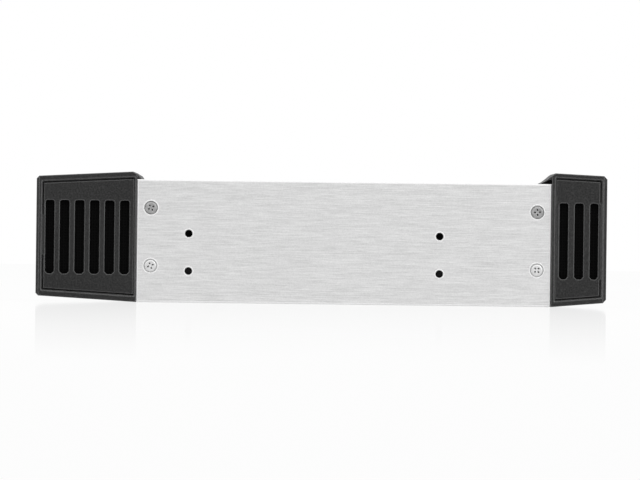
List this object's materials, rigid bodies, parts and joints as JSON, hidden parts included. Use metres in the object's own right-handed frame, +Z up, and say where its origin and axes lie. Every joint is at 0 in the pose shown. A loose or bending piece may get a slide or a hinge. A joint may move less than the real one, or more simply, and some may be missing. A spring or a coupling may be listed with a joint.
{
  "type": "hot swap drive cage",
  "caption": "Drive cage for a 5.25-inch bay: brushed side panels between slotted plastic caps, with a sliding drive tray, lever, lock, power button and rear fan.",
  "frame": {"origin": "bottom centre of the whole cage's box", "axes": "+X towards the front bezel, +Z up, +Y to the right as seen from the front"},
  "size_m": [0.1802, 0.148, 0.0422],
  "materials": {
    "charcoal_plastic": "fine grained, matt",
    "screen_mesh": "black woven mesh",
    "side_aluminium": "brushed lengthwise",
    "cover_steel": "zinc plated sheet",
    "screw_steel": "nickel plated",
    "rail_plastic": "smooth nylon",
    "lock_metal": "nickel plated zinc",
    "board_green": "solder mask",
    "connector_black": "moulded",
    "connector_white": "natural nylon",
    "contact_gold": "gold plated",
    "lamp_clear": "clear acrylic",
    "capacitor_sleeve": "aluminium can",
    "tray_plastic": "moulded, matt",
    "front_plastic": "fine grained, matt",
    "fan_plastic": "moulded"
  },
  "bodies": {
    "cage": {"front_bezel": "charcoal_plastic", "rear_frame": "charcoal_plastic", "front_vent_left": "charcoal_plastic", "front_vent_right": "charcoal_plastic", "rear_vent_left": "charcoal_plastic", "rear_vent_right": "charcoal_plastic", "front_screen_left": "screen_mesh", "front_screen_right": "screen_mesh", "rear_screen_left": "screen_mesh", "rear_screen_right": "screen_mesh", "side_panel_left": "side_aluminium", "side_panel_right": "side_aluminium", "bottom_plate": "cover_steel", "top_cover": "cover_steel", "side_panel_screws": "screw_steel", "cover_screws": "screw_steel", "rail_screws": "screw_steel", "guide_rail_left": "rail_plastic", "guide_rail_right": "rail_plastic", "lock_body": "lock_metal", "lock_nut": "lock_metal", "front_board": "board_green", "front_board_screws": "screw_steel", "front_board_header": "connector_white", "power_switch": "connector_black", "indicator_lamps": "lamp_clear", "light_pipes": "lamp_clear", "backplane_board": "board_green", "board_screws": "screw_steel", "drive_socket": "connector_black", "drive_socket_contacts": "contact_gold", "data_plug": "connector_black", "power_plug": "connector_white", "power_plug_pins": "contact_gold", "backplane_header": "connector_white", "controller_chip": "connector_black", "capacitors": "capacitor_sleeve", "fan_header": "connector_white", "fan_housing": "fan_plastic", "fan_screws": "screw_steel"},
    "tray": {"tray_frame": "tray_plastic", "tray_front": "front_plastic", "tray_front_screws": "screw_steel", "lever_pin": "screw_steel", "release_spring": "screw_steel"},
    "lever": {"lever_handle": "front_plastic"},
    "release": {"release_button": "front_plastic"},
    "lock": {"lock_barrel": "lock_metal", "lock_cam": "lock_metal"},
    "power": {"power_button": "front_plastic", "switch_plunger": "connector_black"},
    "fan": {"fan_rotor": "fan_plastic"}
  },
  "joints": [
    {"name": "tray_slide", "type": "slide", "parent": "cage", "child": "tray", "axis": [1, 0, 0], "range_m": [0, 0.14]},
    {"name": "lever_swing", "type": "hinge", "parent": "tray", "child": "lever", "pos_m": [0.08655, -0.0585, 0.02125], "axis": [0, 0, -1], "range_deg": [0, 75]},
    {"name": "release_press", "type": "slide", "parent": "tray", "child": "release", "axis": [-1, 0, 0], "range_m": [0, 0.002], "stiffness_N_per_m": 800, "springref_m": -0.001, "deforming": ["release_spring"]},
    {"name": "lock_turn", "type": "hinge", "parent": "cage", "child": "lock", "pos_m": [0.085, 0.0615, 0.027], "axis": [1, 0, 0], "range_deg": [0, 90]},
    {"name": "power_press", "type": "slide", "parent": "cage", "child": "power", "axis": [-1, 0, 0], "range_m": [0, 0.0008], "stiffness_N_per_m": 1500, "springref_m": -0.0005},
    {"name": "fan_spin", "type": "hinge", "parent": "cage", "child": "fan", "pos_m": [-0.084, 0.04, 0.0207], "axis": [1, 0, 0], "continuous": true}
  ]
}
